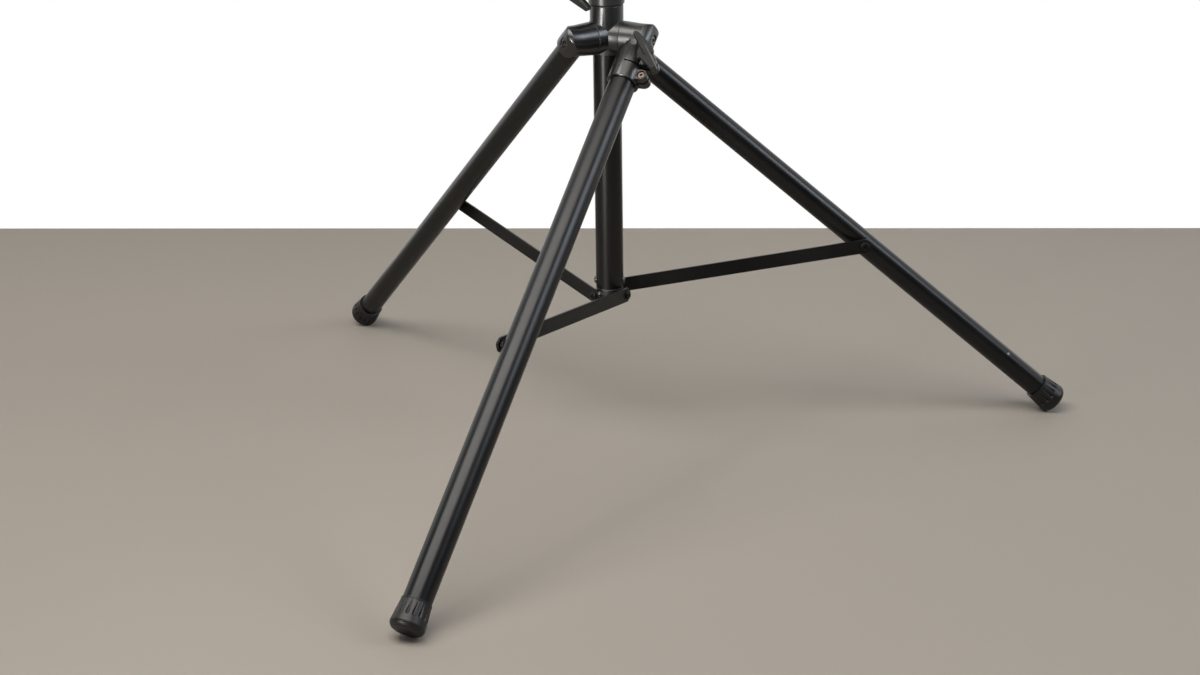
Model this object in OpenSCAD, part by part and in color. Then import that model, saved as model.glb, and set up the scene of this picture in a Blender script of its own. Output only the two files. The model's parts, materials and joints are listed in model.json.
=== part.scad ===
// Folding tripod speaker stand with a telescoping mast and one levelling leg.
// Millimetres, +Z up. The origin is on the column's axis, at floor level.
// The levelling leg points along -Y. The legs stand beside the column, not in line with it.

/* [Legs] */
// From a leg's pivot to the reference ring of its foot, near the tube's end
leg_len = 850; // [760:5:900]
// Angle between an open leg and the vertical
leg_angle = 49; // [44:0.5:52]
// Angle between a folded leg and the vertical
fold_angle = 3; // [3:0.5:5]
// From the column's axis to the plane that a leg swings in
leg_offset = 49.2; // [49:0.1:52]
// Outer diameter of a plain leg tube
leg_d = 32.4; // [30:0.1:33]
// Wall of a plain leg tube
leg_wall = 1.5; // [1:0.1:2]
// Outer diameter of the levelling leg tube
level_d = 36; // [34:0.1:36.4]
// Wall of the levelling leg tube
level_wall = 1.8; // [1.2:0.1:2.4]
// From a plain foot's reference ring up to the rivet in the tube
rivet_up = 92; // [60:1:120]

/* [Feet] */
// Diameter of a foot where it is widest
foot_d = 44; // [42:0.1:46]
// From the reference ring up to the foot's rim
foot_h = 25; // [20:0.2:30]
// From the reference ring down to the sole
foot_sole = 18.2; // [17:0.2:20]
// Rounding between a foot's side and its sole
foot_edge = 8; // [6:0.5:9]
// Outer diameter of the cup just under its rim bead
foot_rim_d = 37.8; // [37.6:0.1:39.5]
// How far the rim bead stands out of the cup
foot_bead = 0.4; // [0.3:0.1:0.8]
// From the tube's end down to the reference ring
foot_seat = 2; // [0:0.5:6]
// Number of wedge grooves round a foot
groove_count = 16; // [10:1:16]
// Radius of a groove at its deep end
groove_r = 2.3; // [1.4:0.1:2.4]

/* [Hub] */
// Diameter of the hub's arms and of the knuckles
knuckle_d = 44.6; // [44:0.1:46]
// Outer diameter of the hub's neck
neck_d = 45; // [44.6:0.1:46]
// From the pivots' height up to the top of the neck
neck_h = 43.5; // [38:0.5:50]
// Where an arm of the hub ends, from the column's axis
arm_end = 26; // [25.5:0.1:27]
// Radius of a knuckle's elbow, round its arm and round its leg
elbow_r = 20.8; // [20:0.1:22]
// Radius of the ball that rounds an elbow's corners
elbow_ball_r = 26.2; // [25:0.1:29]
// Diameter of the spigot that a knuckle turns on
spigot_d = 22; // [18:0.5:24]
// Thickness of the end wall of a knuckle, under its screw
knuckle_end_wall = 3; // [2.5:0.1:4]
// Depth of the screw's recess in the knuckle's end
knuckle_recess = 4; // [3.6:0.1:5]
// Wall of the bush between hub and column
bush_wall = 1.4; // [1.2:0.1:1.6]
// Thickness of the bush's flange and of the washers at the arms
washer_t = 0.8; // [0.6:0.1:1]
// Where a leg tube seats in its knuckle, from the pivot
tube_seat = 16; // [15:0.5:17]
// Length of the spigot inside a plain leg tube, from the pivot
leg_spigot = 62; // [45:1:80]

/* [Levelling sleeve] */
// Outer diameter of the sleeve
sleeve_d = 43; // [42.6:0.1:43.2]
// Where the sleeve's upper end lies, from the pivot
sleeve_top = 23.2; // [22.5:0.1:24]
// Where the sleeve's lower end lies, from the pivot
sleeve_len = 74.5; // [72:0.5:80]
// Where the relief slit lies, from the pivot
slit_at = 50; // [49:0.5:51]
// Width of the relief slit
slit_w = 2; // [1:0.1:2.4]
// Where the knob's stud passes, from the pivot
level_stud_at = 40; // [39:0.5:40.5]
// From the sleeve's lower end up to the socket screw
level_screw_up = 10.5; // [9:0.1:11]

/* [Column and mast] */
// Outer diameter of the column
column_d = 38.1; // [38:0.1:38.3]
// Wall of the column
column_wall = 1.55; // [1.2:0.05:1.8]
// Length of the column
column_len = 937.5; // [936:0.5:990]
// Wall of the mast
mast_wall = 2; // [1.5:0.1:3]
// Clear height between the lowered mast and the spreader's plug
mast_rest = 24.5; // [5:0.5:200]
// From the column's top up to the cabinet flange's top, with the mast lowered
flange_up = 43; // [43:1:72]
// Diameter of the pin holes through the mast
pin_hole_d = 6.4; // [6.2:0.1:7]
// Distance between pin holes
pin_pitch = 60; // [50:5:70]
// Number of pin holes
pin_holes = 9; // [2:1:9]
// Length of the pole above the cabinet flange
pole_len = 88; // [70:1:90]
// Diameter of the pole, a little less than the mast's
pole_d = 34.4; // [34:0.1:34.4]

/* [Braces] */
// From the hub's pivot along the leg to the brace's outer pivot
brace_at = 480; // [420:5:520]
// Rise of an open brace from its inner to its outer pivot
brace_rise = 7.4; // [4:0.1:12]
// From the column's axis to a brace's inner face
brace_offset = 24; // [23.5:0.1:24.1]
// Width of a brace
brace_w = 20; // [17:0.5:22]
// Thickness of a brace
brace_t = 3; // [2:0.1:3.1]
// From the brace pivots up to the column's lower end
spreader_drop = 10; // [9.5:0.5:14]
// Length of the spreader's plug inside the column
plug_len = 34; // [30:1:40]
// From the column's lower end up to the cross bolt
cross_bolt_up = 9.3; // [8:0.1:16]

/* [Clamps] */
// Outer diameter of the hub's collar
collar_d = 48.3; // [47:0.1:49]
// Height of the hub's collar
collar_h = 36; // [30:1:37]
// Height of the mast clamp's part round the column
clamp_low_h = 18; // [16:0.5:19]
// Height of the mast clamp's part round the mast
clamp_high_h = 22; // [20:0.5:24]
// From a clamp's axis out to its stud
stud_reach = 38; // [36:0.5:40]
// Half of the width of a pair of lugs
lug_half = 11; // [10:0.5:12]
// Radius of a lug's round end
lug_r = 8; // [7.6:0.1:8.4]
// Width of the split between two lugs
split_w = 3; // [2:0.1:4]

/* [Knobs] */
// From a knob's axis to the tip of a wing
wing_len = 35; // [30:0.5:37]
// Height of a knob's wings
wing_h = 11; // [9:0.5:13]
// Height of a knob's boss, under its wings
boss_h = 14; // [13.5:0.5:17]
// Diameter of a knob's stud
stud_d = 6; // [5:0.5:6]

/* [Hidden] */
$fn = 96;

// Directions of the three legs, seen from above
level_az = 270;
left_az = 150;
right_az = 30;

// Clearances: turning or sliding fits, faces that must not rub, one past a cut's end, and a hair
fit = 0.05;
gap = 0.3;
past = 1;
hair = 0.02;

// Levels of the open stand
foot_r = foot_d / 2;
foot_low = (foot_sole - foot_edge) * cos(leg_angle) + (foot_r - foot_edge) * sin(leg_angle) + foot_edge;
pivot_z = leg_len * cos(leg_angle) + foot_low;
brace_run = brace_at * sin(leg_angle);
brace_out_z = pivot_z - brace_at * cos(leg_angle);
brace_in_z = brace_out_z - brace_run * tan(brace_rise);
brace_len = brace_run / cos(brace_rise);
column_low = brace_in_z + spreader_drop;
column_top = column_low + column_len;
neck_top = pivot_z + neck_h;
flange_top = column_top + flange_up;
mast_top = flange_top + pole_len;
mast_low = column_low + plug_len + mast_rest;
pin_z = column_top + clamp_high_h + pin_hole_d / 2 + 1;
collar_mid = neck_top + washer_t + collar_h / 2;

// Radii that follow the tubes
column_r = column_d / 2;
column_bore_r = column_r - column_wall;
mast_r = column_bore_r - fit;
pole_r = pole_d / 2;
leg_r = leg_d / 2;
level_r = level_d / 2;
knuckle_r = knuckle_d / 2;
spigot_r = spigot_d / 2;
knuckle_end = leg_offset + elbow_r;
spigot_end = knuckle_end - knuckle_recess - knuckle_end_wall - fit;
sleeve_r = sleeve_d / 2;
bush_r = column_r + fit + bush_wall;
stud_r = stud_d / 2;
brace_mid = brace_offset + brace_t / 2;

// Levelling clamp: how far out its knob's stud and its socket screw stand
level_stud_reach = level_r + 12.5;
level_screw_reach = level_r + 8.5;
level_screw_lug_r = 7.5;
level_screw_at = sleeve_len - level_screw_up;

// Levelling sleeve: the neck under the elbow, the rounding of the sleeve's top, where the bore starts,
// and how far round the relief slit starts; the tube's plug has a rim
sleeve_neck_r = 17;
sleeve_soft = 1.6;
level_seat = sleeve_top + sleeve_soft + 2.2;
slit_from = 0.5;
level_plug_rim = 3;

// Directions of the three knobs' wings
hub_knob_spin = 141;
mast_knob_spin = 60;
level_knob_spin = -50;

// Mast: rims of its guide and of its cap
guide_rim = 6;
cap_rim = 5;

// Rivet in a plain leg tube
rivet_turn = 230;
rivet_r = 1.6;
rivet_head_r = 3.2;
rivet_seat = sqrt(leg_r * leg_r - rivet_head_r * rivet_head_r);

// Knobs: the boss, and a wing's root, tip, sideways shift and crest with its two slopes
boss_low_r = 9.5;
boss_top_r = 8.2;
wing_root_r = 8.5;
wing_tip_r = 4;
wing_shift = 2.5;
wing_crest = 2.5;
wing_broad_fall = 6;
wing_steep_fall = 8.4;

// Spreader: radius and end of the pads under the brace bosses, its lower and upper chamfer, its wall
pad_r = 7.5;
pad_end = column_r + 0.6;
spreader_rim = 2;
spreader_soft = 0.8;
spreader_wall = 3;

// Cross bolt: its direction seen from above, radius of its spot faces, and where they lie
cross_bolt_az = 20;
spot_r = 5.6;
cross_bolt_seat = sqrt(column_r * column_r - spot_r * spot_r);

// Feet: height of the rim bead, and the two ends of a groove
bead_h = 2.4;
bead_slope = 0.8;
groove_low = 0;
groove_high = foot_h - 4;

// Small screws and nuts
nut_af = 10;
nut_h = 5;
nut_sink = 2.5;
screw_head_h = 3.2;
screw_head_r = 6.2;

// A leg's frame: Z runs down the leg from its pivot, Y along the pivot, -X is the outer side
module leg_frame(az) {
    rotate(az) translate([0, leg_offset, pivot_z]) rotate([0, 180 - leg_angle, 0]) children();
}

// A brace's frame: X runs out along the brace from its inner pivot, Y along the pivot
module brace_frame(az) {
    rotate(az) translate([0, 0, brace_in_z]) rotate([0, -brace_rise, 0]) children();
}

// Turns a shape built up Z to lie along Y
module along_y() {
    rotate([-90, 0, 0]) children();
}

// A pipe from z = a to z = b
module pipe(r_out, r_in, a, b) {
    translate([0, 0, a]) difference() {
        cylinder(r = r_out, h = b - a);
        translate([0, 0, -past]) cylinder(r = r_in, h = b - a + 2 * past);
    }
}

// A rod from z = a to z = b
module rod(r, a, b) {
    translate([0, 0, a]) cylinder(r = r, h = b - a);
}

// A rod with chamfered rims from z = a to z = b
module chamfered_rod(r, c, a, b) {
    rod(r, a + c, b - c);
    translate([0, 0, a]) cylinder(r1 = r - c, r2 = r, h = c);
    translate([0, 0, b - c]) cylinder(r1 = r, r2 = r - c, h = c);
}

// Flat outline: two circles on the X axis, and straight sides that run a hair inside both
module tapered_bar(r1, r2, length) {
    lean = acos((r1 - r2) / length);
    side = [cos(lean), sin(lean)];
    other_side = [cos(lean), -sin(lean)];
    circle(r1);
    translate([length, 0]) circle(r2);
    polygon([(r1 - hair) * side, [length, 0] + (r2 - hair) * side,
        [length, 0] + (r2 - hair) * other_side, (r1 - hair) * other_side]);
}

// Hexagonal prism across flats af, from z = a to z = b
module hex_rod(af, a, b) {
    translate([0, 0, a]) cylinder(d = af / cos(30), h = b - a, $fn = 6);
}

// Hex nut from z = 0 to z = nut_h
module nut(bore_r) {
    difference() {
        hex_rod(nut_af, 0, nut_h);
        rod(bore_r, -past, nut_h + past);
    }
}

// Button head with a hex socket, its seat at z = 0
module button_head(r, h, socket) {
    edge_h = h * 0.4;
    difference() {
        union() {
            cylinder(r = r, h = edge_h);
            translate([0, 0, edge_h]) cylinder(r1 = r, r2 = r * 0.62, h = h - edge_h);
        }
        hex_rod(socket, h * 0.35, h + past);
    }
}

// A clamp's lugs in the clamp's frame: they reach along X, and the stud runs along Y
module lugs(reach, r, half) {
    along_y() rod_at(reach, r, -half, half);
    translate([0, -half, -r]) cube([reach, 2 * half, 2 * r]);
}

// A rod along the current Z, moved out along X
module rod_at(reach, r, a, b) {
    translate([reach, 0, 0]) rod(r, a, b);
}

// What is cut from a pair of lugs: the stud's hole and the nut's pocket at the -Y end
module lug_holes(reach, hole_r, half) {
    along_y() rod_at(reach, hole_r, -half - past, half + past);
    translate([reach, 0, 0]) along_y() hex_rod(nut_af + 2 * fit, -half - past, -half + nut_sink);
}

// A knob in its own frame: the boss stands on z = 0, the two wings are above it
module knob_shape() {
    difference() {
        union() {
            cylinder(r1 = boss_low_r, r2 = boss_top_r, h = boss_h + wing_h / 2);
            for (side = [0, 180]) rotate(side) wing();
        }
        rod(stud_r, -past, boss_h + wing_h / 2);
    }
}

// One wing along X: a tapered bar under a crest that has a broad and a steep slope
module wing() {
    intersection() {
        translate([0, 0, boss_h]) linear_extrude(wing_h + past)
            translate([0, -wing_shift]) rotate(4) tapered_bar(wing_root_r, wing_tip_r, wing_len - wing_tip_r);
        translate([-wing_root_r - past, 0, boss_h]) rotate([90, 0, 90])
            linear_extrude(wing_len + wing_root_r + 2 * past) wing_section();
    }
}

// Cross-section of a wing over its flat underside: X is across the wing, Y is up
module wing_section() {
    broad = -wing_shift - wing_root_r - past;
    steep = wing_root_r;
    polygon([[broad, -past], [steep, -past], [steep, wing_h - wing_steep_fall], [wing_crest, wing_h],
        [broad, wing_h - wing_broad_fall]]);
}

// A knob's stud in the knob's frame: it runs down through both lugs and the nut
module stud_shape() {
    rod(stud_r, -gap - 2 * lug_half - (nut_h - nut_sink) - 2, boss_h + wing_h / 2);
}

// Puts a knob's frame on a clamp's +Y face, turned by spin
module on_lug(reach, spin) {
    translate([reach, lug_half + gap, 0]) along_y() rotate(spin) children();
}

// Knuckle blank: a cone along the arm runs into an elbow, which is what lies at once in a cylinder
// round the arm, in one round the leg, and in a ball
module knuckle_blank() {
    start = arm_end + washer_t + fit - leg_offset;
    translate([0, start, 0]) along_y() cylinder(r1 = knuckle_r, r2 = elbow_r, h = -start);
    intersection() {
        along_y() rod(elbow_r, -2, elbow_r + past);
        rod(elbow_r, -elbow_r - past, elbow_r + past);
        sphere(elbow_ball_r);
    }
}

// What is cut from a knuckle for the hub's spigot and its shoulder screw
module knuckle_holes() {
    far = knuckle_end - leg_offset;
    along_y() {
        rod(spigot_r + fit, -leg_offset, spigot_end + fit - leg_offset);
        rod(screw_head_r + 0.4, far - knuckle_recess, far + past);
        rod(5 + fit, 0, far);
    }
}

// Closed foot round a tube of radius tube_r: a cup that widens downward, a rounded edge, a flat sole,
// a rim bead and wedge grooves
module foot_shape(tube_r) {
    rim_r = foot_rim_d / 2;
    edge_at = foot_edge - foot_sole;
    lean = atan2(foot_r - rim_r, foot_h - edge_at);
    translate([0, 0, leg_len]) mirror([0, 0, 1]) difference() {
        union() {
            translate([0, 0, edge_at]) cylinder(r1 = foot_r, r2 = rim_r, h = foot_h - edge_at);
            rod(foot_r - foot_edge, -foot_sole, edge_at + past);
            translate([0, 0, edge_at]) rotate_extrude() translate([foot_r - foot_edge, 0]) circle(foot_edge);
            rim_bead(rim_r);
        }
        rod(tube_r, foot_seat, foot_h + past);
        for (i = [0 : groove_count - 1]) rotate((i + 0.5) * 360 / groove_count)
            groove_tool(foot_r - (groove_low - edge_at) * tan(lean), lean);
    }
}

// The rim bead at the mouth of a foot
module rim_bead(rim_r) {
    translate([0, 0, foot_h - bead_h]) cylinder(r1 = rim_r, r2 = rim_r + foot_bead, h = bead_slope);
    rod(rim_r + foot_bead, foot_h - bead_h + bead_slope, foot_h);
}

// One wedge groove along the cup's side: round and wide near the sole, narrow near the rim
module groove_tool(surface_r, lean) {
    sink = groove_r * 0.15;
    translate([surface_r + sink, 0, groove_low]) rotate([0, -lean, 0]) {
        sphere(groove_r);
        cylinder(r1 = groove_r, r2 = groove_r * 0.3, h = groove_high - groove_low);
    }
}

// Column tube, with the cross bolt's hole and its two spot faces
module column() {
    color([0.05, 0.05, 0.055]) difference() {
        pipe(column_r, column_bore_r, column_low, column_top);
        translate([0, 0, column_low + cross_bolt_up]) rotate([0, 90, cross_bolt_az]) {
            rod(3, -column_r - past, column_r + past);
            for (side = [0, 180]) rotate([side, 0, 0]) rod(spot_r, cross_bolt_seat, column_r + past);
        }
    }
}

// Spreader: a plug in the column's end, and a hub below it with three pads for the brace bosses
module spreader() {
    low = brace_in_z - pad_r - spreader_rim - 1;
    color([0.06, 0.06, 0.06]) difference() {
        union() {
            translate([0, 0, low]) cylinder(r1 = column_r - spreader_rim, r2 = column_r, h = spreader_rim);
            rod(column_r, low + spreader_rim, column_low - spreader_soft);
            translate([0, 0, column_low - spreader_soft])
                cylinder(r1 = column_r, r2 = column_r - spreader_soft, h = spreader_soft);
            rod(column_bore_r, low + spreader_rim, column_low + plug_len);
            for (az = [level_az, left_az, right_az])
                rotate(az) translate([0, 0, brace_in_z]) along_y() rod(pad_r, column_r - 5, pad_end);
        }
        rod(column_bore_r - spreader_wall, brace_in_z + pad_r + spreader_wall, column_low + plug_len + past);
        translate([0, 0, column_low + cross_bolt_up]) rotate([0, 90, cross_bolt_az])
            rod(3, -column_r, column_r);
        for (az = [level_az, left_az, right_az])
            rotate(az) translate([0, 0, brace_in_z]) along_y() rod(3, column_r / 2, pad_end + past);
    }
}

// Cross bolt through the column's end: a shank with a low round head at each side
module spreader_bolt() {
    color([0.1, 0.1, 0.1]) translate([0, 0, column_low + cross_bolt_up]) rotate([0, 90, cross_bolt_az]) {
        rod(3, -cross_bolt_seat, cross_bolt_seat);
        for (side = [0, 180]) rotate([side, 0, 0]) translate([0, 0, cross_bolt_seat]) {
            cylinder(r = 5.5, h = 1.4);
            translate([0, 0, 1.4]) cylinder(r1 = 5.5, r2 = 3.4, h = 1.8);
        }
    }
}

// Three bright bosses on the spreader, with the shoulders that the braces turn on
module brace_bosses() {
    color([0.75, 0.75, 0.77]) for (az = [level_az, left_az, right_az])
        rotate(az) translate([0, 0, brace_in_z]) along_y() {
            pipe(5.5, 3, pad_end, brace_offset - fit);
            pipe(4, 3, brace_offset - fit, brace_offset + brace_t + fit);
        }
}

// Three screws that hold the braces' inner ends on their bosses
module brace_screws() {
    color([0.05, 0.05, 0.05]) for (az = [level_az, left_az, right_az])
        rotate(az) translate([0, 0, brace_in_z]) along_y() {
            rod(3, column_r / 2 + past, brace_offset + brace_t + fit + past);
            translate([0, 0, brace_offset + brace_t + fit]) button_head(6.5, screw_head_h, 4);
        }
}

// Mast clamp: its lower half sits on the column's top, its split upper half grips the mast
module mast_clamp() {
    low = column_top - clamp_low_h;
    high = column_top + clamp_high_h;
    lug_z = column_top + clamp_high_h / 2;
    color([0.16, 0.16, 0.17]) difference() {
        union() {
            chamfered_rod(collar_d / 2, 1.2, low, high);
            translate([0, 0, lug_z]) lugs(stud_reach, lug_r, lug_half);
        }
        rod(column_r, low - past, column_top);
        rod(mast_r + fit, column_top - past, high + past);
        translate([0, -split_w / 2, column_top + split_w / 2])
            cube([stud_reach + lug_r + past, split_w, clamp_high_h]);
        translate([0, 0, lug_z]) lug_holes(stud_reach, stud_r + fit, lug_half);
        translate([column_r - past, -lug_half - past, column_top])
            cube([stud_reach, 2 * (lug_half + past), split_w]);
    }
}

// Nut in the mast clamp's far lug
module mast_clamp_nut() {
    color([0.6, 0.6, 0.62]) translate([stud_reach, 0, column_top + clamp_high_h / 2]) lug_nut();
}

// A nut seated in the pocket at the -Y end of a pair of lugs
module lug_nut() {
    translate([0, -lug_half + nut_sink, 0]) rotate([90, 0, 0]) nut(stud_r + fit);
}

// Knob of the mast clamp
module mast_knob() {
    color([0.13, 0.13, 0.14]) translate([0, 0, column_top + clamp_high_h / 2])
        on_lug(stud_reach, mast_knob_spin) knob_shape();
}

// Stud of the mast clamp's knob
module mast_knob_stud() {
    color([0.6, 0.6, 0.62]) translate([0, 0, column_top + clamp_high_h / 2])
        on_lug(stud_reach, mast_knob_spin) stud_shape();
}

// Mast: the tube that slides in the column, with a row of pin holes and a slightly smaller pole on top
module mast() {
    color([0.06, 0.06, 0.065]) difference() {
        union() {
            rod(mast_r, mast_low + guide_rim, flange_top);
            rod(pole_r, flange_top, mast_top - cap_rim);
        }
        rod(mast_r - mast_wall, mast_low, mast_top);
        for (i = [0 : pin_holes - 1])
            translate([0, 0, pin_z - i * pin_pitch]) along_y()
                rod(pin_hole_d / 2, -mast_r - past, mast_r + past);
    }
}

// Nylon plug that guides the mast's lower end
module mast_guide() {
    color([0.1, 0.1, 0.1]) {
        rod(mast_r, mast_low, mast_low + guide_rim);
        pipe(mast_r - mast_wall, mast_r - 2 * mast_wall - 1, mast_low + guide_rim, mast_low + 28);
    }
}

// Cap on the mast's top, with a chamfered rim
module mast_cap() {
    color([0.1, 0.1, 0.1]) {
        rod(mast_r - mast_wall, mast_top - cap_rim - 20, mast_top - cap_rim);
        rod(pole_r, mast_top - cap_rim, mast_top - cap_rim / 2);
        translate([0, 0, mast_top - cap_rim / 2])
            cylinder(r1 = pole_r, r2 = pole_r - cap_rim / 2, h = cap_rim / 2);
    }
}

// Flange that a cabinet's socket rests on
module cabinet_flange() {
    flange_r = mast_r + 9;
    color([0.12, 0.12, 0.125]) difference() {
        union() {
            rod(flange_r, flange_top - 4, flange_top);
            translate([0, 0, flange_top - 9]) cylinder(r1 = mast_r + 2.5, r2 = flange_r, h = 5);
        }
        rod(mast_r, flange_top - 9 - past, flange_top + past);
    }
}

// Safety pin through the mast, just above its clamp, with a turned head to pull it by
module safety_pin() {
    pin_r = pin_hole_d / 2 - 0.1;
    head_low = collar_d / 2 + 1;
    color([0.7, 0.7, 0.72]) translate([0, 0, pin_z]) rotate([90, 0, 0]) {
        rod(pin_r, -mast_r - 4, head_low + 1);
        translate([0, 0, -mast_r - 6]) cylinder(r1 = pin_r - 1, r2 = pin_r, h = 2);
        chamfered_rod(6.4, 0.8, head_low, head_low + 4);
        rod(4.2, head_low + 3, head_low + 11);
        chamfered_rod(6.4, 1.2, head_low + 10, head_low + 16);
    }
}

// Hub casting: neck, three arms that meet in mitres, and a spigot on the end of each arm
module hub() {
    color([0.045, 0.045, 0.05]) difference() {
        union() {
            rod(neck_d / 2, pivot_z, neck_top - 1);
            translate([0, 0, neck_top - 1]) cylinder(r1 = neck_d / 2, r2 = neck_d / 2 - 1, h = 1);
            for (az = [level_az, left_az, right_az]) rotate(az) translate([0, 0, pivot_z]) along_y() {
                rod(knuckle_r, 0, arm_end);
                rod(spigot_r, arm_end, spigot_end);
            }
        }
        rod(bush_r, pivot_z - knuckle_r - past, neck_top + past);
        for (az = [level_az, left_az, right_az]) rotate(az) translate([0, 0, pivot_z]) along_y()
            rod(4, spigot_end - 26, spigot_end + past);
    }
}

// Nylon bush between hub and column, with a flange over the neck's top
module hub_bush() {
    color([0.1, 0.1, 0.1]) {
        pipe(bush_r, column_r + fit, pivot_z - knuckle_r, neck_top);
        pipe(neck_d / 2 - 1, column_r + fit, neck_top, neck_top + washer_t);
    }
}

// Thrust washers between the hub's arms and the knuckles
module hub_washers() {
    color([0.12, 0.12, 0.12]) for (az = [level_az, left_az, right_az])
        rotate(az) translate([0, 0, pivot_z]) along_y()
            pipe(knuckle_r - 0.6, spigot_r, arm_end, arm_end + washer_t);
}

// Split collar on the neck that locks the hub to the column
module hub_collar() {
    low = neck_top + washer_t;
    color([0.16, 0.16, 0.17]) difference() {
        union() {
            chamfered_rod(collar_d / 2, 1.2, low, low + collar_h);
            translate([0, 0, collar_mid]) rotate(180) lugs(stud_reach, lug_r, lug_half);
        }
        rod(column_r + fit, low - past, low + collar_h + past);
        rotate(180) translate([0, -split_w / 2, low - past])
            cube([stud_reach + lug_r + past, split_w, collar_h + 2 * past]);
        translate([0, 0, collar_mid]) rotate(180) lug_holes(stud_reach, stud_r + fit, lug_half);
    }
}

// Nut in the collar's far lug
module hub_collar_nut() {
    color([0.6, 0.6, 0.62]) translate([0, 0, collar_mid]) rotate(180) translate([stud_reach, 0, 0]) lug_nut();
}

// Knob of the hub's collar
module hub_knob() {
    color([0.13, 0.13, 0.14]) translate([0, 0, collar_mid]) rotate(180)
        on_lug(stud_reach, hub_knob_spin) knob_shape();
}

// Stud of the hub collar's knob
module hub_knob_stud() {
    color([0.6, 0.6, 0.62]) translate([0, 0, collar_mid]) rotate(180)
        on_lug(stud_reach, hub_knob_spin) stud_shape();
}

// Shoulder screws that hold the knuckles on the hub's spigots
module hub_screws() {
    seat = knuckle_end - knuckle_recess + fit;
    color([0.25, 0.25, 0.26]) for (az = [level_az, left_az, right_az])
        rotate(az) translate([0, 0, pivot_z]) along_y() {
            rod(4, spigot_end - 24, spigot_end);
            rod(5, spigot_end, seat);
            translate([0, 0, seat]) button_head(screw_head_r, screw_head_h, 5);
        }
}

// Plain knuckle: turned blank with a seat and an inner spigot for the leg tube
module knuckle(az) {
    color([0.045, 0.045, 0.05]) leg_frame(az) difference() {
        union() {
            difference() {
                knuckle_blank();
                rod(leg_r, tube_seat, knuckle_r + past);
            }
            rod(leg_r - leg_wall, 0, leg_spigot);
        }
        knuckle_holes();
    }
}
module left_knuckle() { knuckle(left_az); }
module right_knuckle() { knuckle(right_az); }

// Plain leg tube, with a spot-faced hole for its rivet
module leg_tube(az) {
    color([0.05, 0.05, 0.055]) leg_frame(az) difference() {
        pipe(leg_r, leg_r - leg_wall, tube_seat, leg_len - foot_seat);
        rivet_frame() {
            rod(rivet_r, 0, leg_r + past);
            rod(rivet_head_r, rivet_seat, leg_r + past);
        }
    }
}
module left_leg() { leg_tube(left_az); }
module right_leg() { leg_tube(right_az); }

// The rivet's frame: Z points out of the tube's wall
module rivet_frame() {
    rotate(rivet_turn) translate([0, 0, leg_len - rivet_up]) rotate([0, 90, 0]) children();
}

// Small rivet in a plain leg tube
module rivet(az) {
    color([0.75, 0.75, 0.76]) leg_frame(az) rivet_frame() {
        rod(rivet_r, leg_r - leg_wall - 1.5, rivet_seat);
        translate([0, 0, rivet_seat]) cylinder(r1 = rivet_head_r, r2 = rivet_head_r * 0.55, h = 1.4);
    }
}
module left_rivet() { rivet(left_az); }
module right_rivet() { rivet(right_az); }

// Rubber feet
module left_foot() { color([0.03, 0.03, 0.03]) leg_frame(left_az) foot_shape(leg_r); }
module right_foot() { color([0.03, 0.03, 0.03]) leg_frame(right_az) foot_shape(leg_r); }
module level_foot() { color([0.03, 0.03, 0.03]) leg_frame(level_az) foot_shape(level_r); }

// Flat brace with round ends, drilled for its two pivots
module brace(az) {
    far = brace_offset + brace_t;
    color([0.05, 0.05, 0.05]) brace_frame(az) difference() {
        union() {
            translate([0, brace_offset, -brace_w / 2]) cube([brace_len, brace_t, brace_w]);
            along_y() rod(brace_w / 2, brace_offset, far);
            along_y() rod_at(brace_len, brace_w / 2, brace_offset, far);
        }
        along_y() rod(4 + fit, brace_offset - past, far + past);
        along_y() rod_at(brace_len, 4, brace_offset - past, far + past);
    }
}
module left_brace() { brace(left_az); }
module right_brace() { brace(right_az); }
module level_brace() { brace(level_az); }

// Outer pivot of a brace: spacer against the tube, shank, washer and head; tube_r is the leg's radius
module brace_bolt(az, tube_r) {
    washer_h = 0.8;
    head_h = 2.8;
    color([0.08, 0.08, 0.08]) brace_frame(az) translate([brace_len, 0, 0]) along_y() {
        rod(6, brace_offset + brace_t, leg_offset - tube_r - gap);
        rod(4, brace_offset, brace_offset + brace_t);
        rod(7.8, brace_offset - washer_h, brace_offset);
        translate([0, 0, brace_offset - washer_h]) mirror([0, 0, 1]) button_head(6.5, head_h, 4);
    }
}
module left_brace_bolt() { brace_bolt(left_az, leg_r); }
module right_brace_bolt() { brace_bolt(right_az, leg_r); }
module level_brace_bolt() { brace_bolt(level_az, level_r); }

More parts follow.
